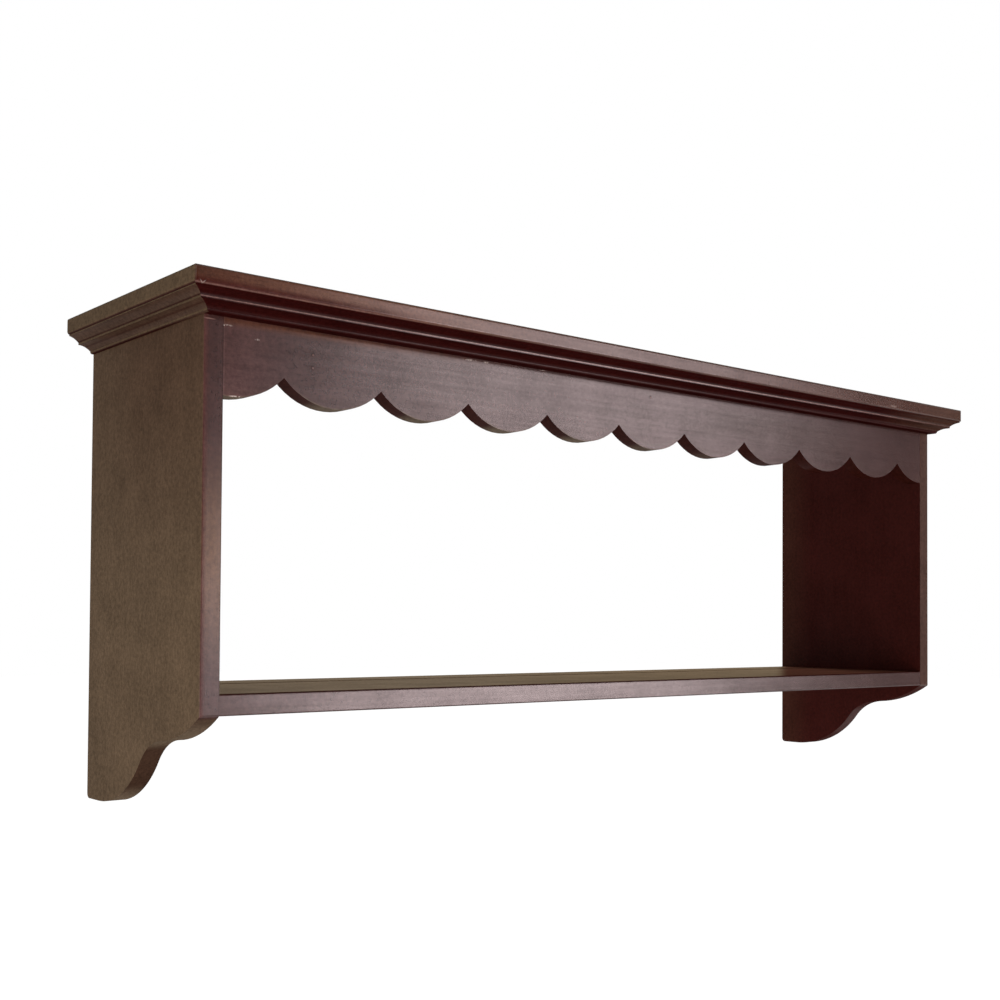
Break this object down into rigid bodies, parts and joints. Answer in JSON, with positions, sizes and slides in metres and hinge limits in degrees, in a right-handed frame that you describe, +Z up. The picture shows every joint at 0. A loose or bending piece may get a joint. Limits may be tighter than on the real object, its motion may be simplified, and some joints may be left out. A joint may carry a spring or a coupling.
{
  "type": "wall plate rack",
  "caption": "Wall-hung dark wood plate rack: a moulded top over a scalloped apron, two side boards with ogee feet, and one grooved shelf in an open-backed case.",
  "frame": {"origin": "on the wall, midway between the round holes of the two keyhole hangers in the back edges of the side boards", "axes": "+X along the rack, to the right as seen from the front; +Y into the wall; +Z up"},
  "size_m": [1.154, 0.272, 0.472],
  "materials": {
    "stained_wood": "dark red-brown stain under a worn wax polish",
    "raw_wood": "bare planed wood",
    "pin_steel": "plain drawn steel",
    "zinc_plate": "zinc plated"
  },
  "bodies": {
    "root": {"left_side": "stained_wood", "right_side": "stained_wood", "top_board": "stained_wood", "shelf_board": "stained_wood", "scalloped_apron": "stained_wood", "cornice_front": "stained_wood", "cornice_left": "stained_wood", "cornice_right": "stained_wood", "glue_block_left": "raw_wood", "glue_block_middle": "raw_wood", "glue_block_right": "raw_wood", "shelf_dowels_left": "raw_wood", "shelf_dowels_right": "raw_wood", "top_dowels_left": "raw_wood", "top_dowels_right": "raw_wood", "apron_dowels_left": "raw_wood", "apron_dowels_right": "raw_wood", "cornice_pins_front": "pin_steel", "cornice_pins_left": "pin_steel", "cornice_pins_right": "pin_steel", "apron_pins": "pin_steel", "keyhole_hanger_left": "zinc_plate", "keyhole_hanger_right": "zinc_plate", "hanger_screws_left": "zinc_plate", "hanger_screws_right": "zinc_plate"}
  },
  "joints": []
}
